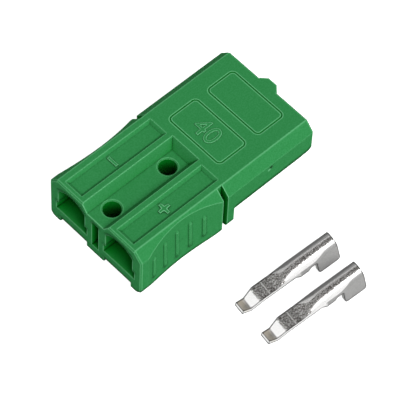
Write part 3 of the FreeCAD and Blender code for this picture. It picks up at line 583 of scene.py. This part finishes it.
def add_object(name, mesh_or_data):
    """A new object in the scene, at the origin."""
    piece = bpy.data.objects.new(name, mesh_or_data)
    bpy.context.collection.objects.link(piece)
    return piece


def add_quad(name, corners):
    """A sheet with four corners."""
    mesh = bpy.data.meshes.new(name)
    mesh.from_pydata(corners, [], [(0, 1, 2, 3)])
    return add_object(name, mesh)


def plate(name, outline, low, high, bevel):
    """A flat raised mark: an outline in metres, pulled up and bevelled along its top."""
    mesh = bpy.data.meshes.new(name)
    build = bmesh.new()
    foot = [build.verts.new((x, y, low)) for x, y in outline]
    head = [build.verts.new((x, y, high)) for x, y in outline]
    build.faces.new(list(reversed(foot)))
    build.faces.new(head)
    for index in range(len(outline)):
        after = (index + 1) % len(outline)
        build.faces.new((foot[index], foot[after], head[after], head[index]))
    rim = [edge for edge in build.edges if all(vert in head for vert in edge.verts)]
    bmesh.ops.bevel(build, geom=rim, offset=bevel, segments=2, profile=0.5, affect="EDGES")
    bmesh.ops.recalc_face_normals(build, faces=build.faces)
    build.to_mesh(mesh)
    build.free()
    return add_object(name, mesh)


def stroke_outline(x, y, half_x, half_y):
    """Outline of a single stroke, anticlockwise."""
    return [(x - half_x, y - half_y), (x + half_x, y - half_y),
            (x + half_x, y + half_y), (x - half_x, y + half_y)]


def cross_outline(x, y, long, short):
    """Outline of a plus sign, anticlockwise."""
    corners = []
    for quarter in range(4):
        turn = Matrix.Rotation(quarter * math.pi / 2, 2)
        for corner in ((long, -short), (long, short), (short, short)):
            placed = turn @ Vector(corner)
            corners.append((x + placed.x, y + placed.y))
    return corners


def add_to_housing(piece):
    """Makes a mark part of the housing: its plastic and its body."""
    piece.data.materials.append(bpy.data.materials["green_marks"])
    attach(piece, "root")


class CONNECTOR_OT_housing(bpy.types.Operator):
    """Give the housing its moulded plastic"""

    bl_idname = "connector.housing"
    bl_label = "Housing Plastic"

    def execute(self, context):
        finish = context.scene.connector_housing
        plastic = green_plastic(finish, "green_plastic", finish.rim, finish.rim_tone)
        finish_node("housing", plastic)
        # The marks' plastic has a narrower painted highlight along its edges.
        green_plastic(finish, "green_marks", finish.mark_rim, finish.mark_tone)
        return {"FINISHED"}


class CONNECTOR_OT_contacts(bpy.types.Operator):
    """Give the two contacts their tin plating"""

    bl_idname = "connector.contacts"
    bl_label = "Tinned Contacts"

    def execute(self, context):
        finish = context.scene.connector_contacts
        for name, place in CONTACT_PLACES.items():
            finish_node(name, tinned_copper(finish, name, place))
        return {"FINISHED"}


class CONNECTOR_OT_springs(bpy.types.Operator):
    """Give the two leaf springs their steel"""

    bl_idname = "connector.springs"
    bl_label = "Leaf Springs"

    def execute(self, context):
        steel = spring_steel(context.scene.connector_contacts)
        for name in ("contact_spring_left", "contact_spring_right"):
            finish_node(name, steel)
        return {"FINISHED"}


class CONNECTOR_OT_pole_marks(bpy.types.Operator):
    """Raise the minus and the plus in the sunk panels"""

    bl_idname = "connector.pole_marks"
    bl_label = "Pole Marks"

    def execute(self, context):
        sizes = context.scene.connector_marks
        low, high = PANEL_FLOOR - sizes.bevel, PANEL_FLOOR + sizes.raised
        long, short = sizes.stroke / 2, sizes.width / 2
        minus = stroke_outline(sizes.station, sizes.offset, short, long)
        plus = cross_outline(sizes.station, -sizes.offset, long, short)
        add_to_housing(plate("mark_minus", minus, low, high, sizes.bevel))
        add_to_housing(plate("mark_plus", plus, low, high, sizes.bevel))
        return {"FINISHED"}


class CONNECTOR_OT_number(bpy.types.Operator):
    """Raise the plain number in the front frame"""

    bl_idname = "connector.number"
    bl_label = "Number"

    def execute(self, context):
        sizes = context.scene.connector_marks
        mesh = self.letter_mesh(context, sizes)
        # Read across the housing, with the tops towards the mating end.
        across = Matrix.Rotation(-math.pi / 2, 4, "Z")
        foot = Matrix.Translation((sizes.number_station, 0, TOP - sizes.bevel))
        mesh.transform(foot @ across)
        build = bmesh.new()
        build.from_mesh(mesh)
        bmesh.ops.remove_doubles(build, verts=build.verts, dist=MERGE_DISTANCE)
        bmesh.ops.recalc_face_normals(build, faces=build.faces)
        build.to_mesh(mesh)
        build.free()
        add_to_housing(add_object("number", mesh))
        return {"FINISHED"}

    def letter_mesh(self, context, sizes):
        """The number as a mesh, still at the origin."""
        letters = bpy.data.curves.new("number_outline", "FONT")
        letters.body = sizes.number
        letters.align_x = "CENTER"
        letters.size = sizes.number_size
        letters.extrude = sizes.raised - sizes.bevel
        letters.bevel_depth = sizes.bevel
        letters.bevel_resolution = 1
        letters.resolution_u = 6
        outline = add_object("number_outline", letters)
        shown = outline.evaluated_get(context.evaluated_depsgraph_get())
        mesh = bpy.data.meshes.new_from_object(shown)
        bpy.data.objects.remove(outline)
        mesh.materials.clear()
        return mesh


class CONNECTOR_OT_studio(bpy.types.Operator):
    """Set up the floor, the light and the camera"""

    bl_idname = "connector.studio"
    bl_label = "Studio"

    def execute(self, context):
        setup = context.scene.connector_studio
        context.scene.view_settings.view_transform = "Standard"
        self.add_floor(setup)
        self.add_sky(context, setup)
        self.add_lamp(setup)
        self.add_cards()
        self.add_camera(context, setup)
        return {"FINISHED"}

    def add_floor(self, setup):
        """A white floor that keeps the object's shadow."""
        half = setup.floor
        floor = add_quad("floor", [(-half, -half, 0), (half, -half, 0),
                                   (half, half, 0), (-half, half, 0)])
        paint = Paint("white_floor")
        grey = (setup.floor_tone, setup.floor_tone, setup.floor_tone, 1)
        matte = paint.node("ShaderNodeBsdfDiffuse", None, {"Color": grey})
        white = paint.ray("Is Camera Ray") * setup.floor_white
        glow = paint.node("ShaderNodeEmission", None, {
            "Color": (1, 1, 1, 1), "Strength": paint.seen() * setup.floor_glow + white})
        paint.close(paint.node("ShaderNodeAddShader", None, {0: matte, 1: glow}))
        floor.data.materials.append(paint.material)

    def add_sky(self, context, setup):
        """White where it is seen, and else soft light that comes more from the right side."""
        world = bpy.data.worlds.new("sky")
        context.scene.world = world
        sky = Paint("sky", world)
        side = sky.part(sky.node("ShaderNodeTexCoord", output="Generated"), "Y")
        soft = (1.0 - side * setup.sky_lean) * setup.sky
        seen = sky.seen()
        sky.close(sky.node("ShaderNodeBackground", None, {
            "Color": (1, 1, 1, 1), "Strength": seen + (1.0 - seen) * soft}))

    def add_lamp(self, setup):
        """One large soft lamp from the near right side."""
        lamp = bpy.data.lights.new("key_lamp", "SUN")
        lamp.energy = setup.key
        lamp.angle = setup.key_size
        stand = add_object("key_lamp", lamp)
        stand.rotation_euler = Vector(setup.key_from).to_track_quat("Z", "Y").to_euler()

    def add_cards(self):
        """Cards above and beside, which only reflections see, so that the metal has contrast."""
        for name, corners, shade in CARDS:
            self.add_card(name, corners, shade)
        for contact, place in CONTACT_PLACES.items():
            middle = Matrix.Translation([value * MM for value in place])
            stand = middle @ Matrix.Rotation(CONTACT_TURN, 4, "Z")
            for prefix, outline, grey in CONTACT_CARDS:
                corners = [stand @ (Vector(corner) * MM) for corner in outline]
                self.add_card(prefix + contact, corners, (grey, grey, grey))

    def add_card(self, name, corners, shade):
        """A card that glows on its front and is clear from behind."""
        card = add_quad(name, corners)
        paint = Paint(name)
        glow = paint.node("ShaderNodeEmission", None, {"Color": (*shade, 1), "Strength": 1.0})
        behind = paint.node("ShaderNodeNewGeometry", output="Backfacing")
        clear = paint.node("ShaderNodeBsdfTransparent")
        paint.close(paint.node("ShaderNodeMixShader", None, {0: behind, 1: glow, 2: clear}))
        card.data.materials.append(paint.material)
        card.visible_camera = False
        card.visible_diffuse = False
        card.visible_shadow = False
        card.visible_transmission = False

    def add_camera(self, context, setup):
        """The photograph's view."""
        optics = bpy.data.cameras.new("camera")
        optics.sensor_width = 36.0
        optics.lens = setup.lens
        optics.clip_start, optics.clip_end = 0.01, 20.0
        camera = add_object("camera", optics)
        camera.location = setup.camera
        camera.rotation_euler = Euler(setup.aim, "XYZ")
        context.scene.camera = camera


class CONNECTOR_PT_panel(bpy.types.Panel):
    """The connector's pieces and their sizes"""

    bl_idname = "CONNECTOR_PT_panel"
    bl_label = "Power Connector"
    bl_space_type = "VIEW_3D"
    bl_region_type = "UI"
    bl_category = "Connector"

    def draw(self, context):
        for operator, group in PANEL_ROWS:
            box = self.layout.box()
            box.operator(operator)
            settings = getattr(context.scene, group)
            for name in settings.__annotations__:
                box.prop(settings, name)


PANEL_ROWS = (
    ("connector.housing", "connector_housing"),
    ("connector.contacts", "connector_contacts"),
    ("connector.springs", "connector_contacts"),
    ("connector.pole_marks", "connector_marks"),
    ("connector.number", "connector_marks"),
    ("connector.studio", "connector_studio"),
)
SETTINGS = {
    "connector_housing": HousingFinish,
    "connector_contacts": ContactFinish,
    "connector_marks": MarkSizes,
    "connector_studio": StudioSetup,
}
CLASSES = (
    *SETTINGS.values(),
    CONNECTOR_OT_housing, CONNECTOR_OT_contacts, CONNECTOR_OT_springs,
    CONNECTOR_OT_pole_marks, CONNECTOR_OT_number, CONNECTOR_OT_studio,
    CONNECTOR_PT_panel,
)


def register():
    for kind in CLASSES:
        bpy.utils.register_class(kind)
    for name, kind in SETTINGS.items():
        setattr(bpy.types.Scene, name, bpy.props.PointerProperty(type=kind))


def unregister():
    for name in SETTINGS:
        delattr(bpy.types.Scene, name)
    for kind in reversed(CLASSES):
        bpy.utils.unregister_class(kind)


def main():
    register()
    bpy.ops.connector.housing()
    bpy.ops.connector.contacts()
    bpy.ops.connector.springs()
    bpy.ops.connector.pole_marks()
    bpy.ops.connector.number()
    bpy.ops.connector.studio()


if __name__ == "__main__":
    main()
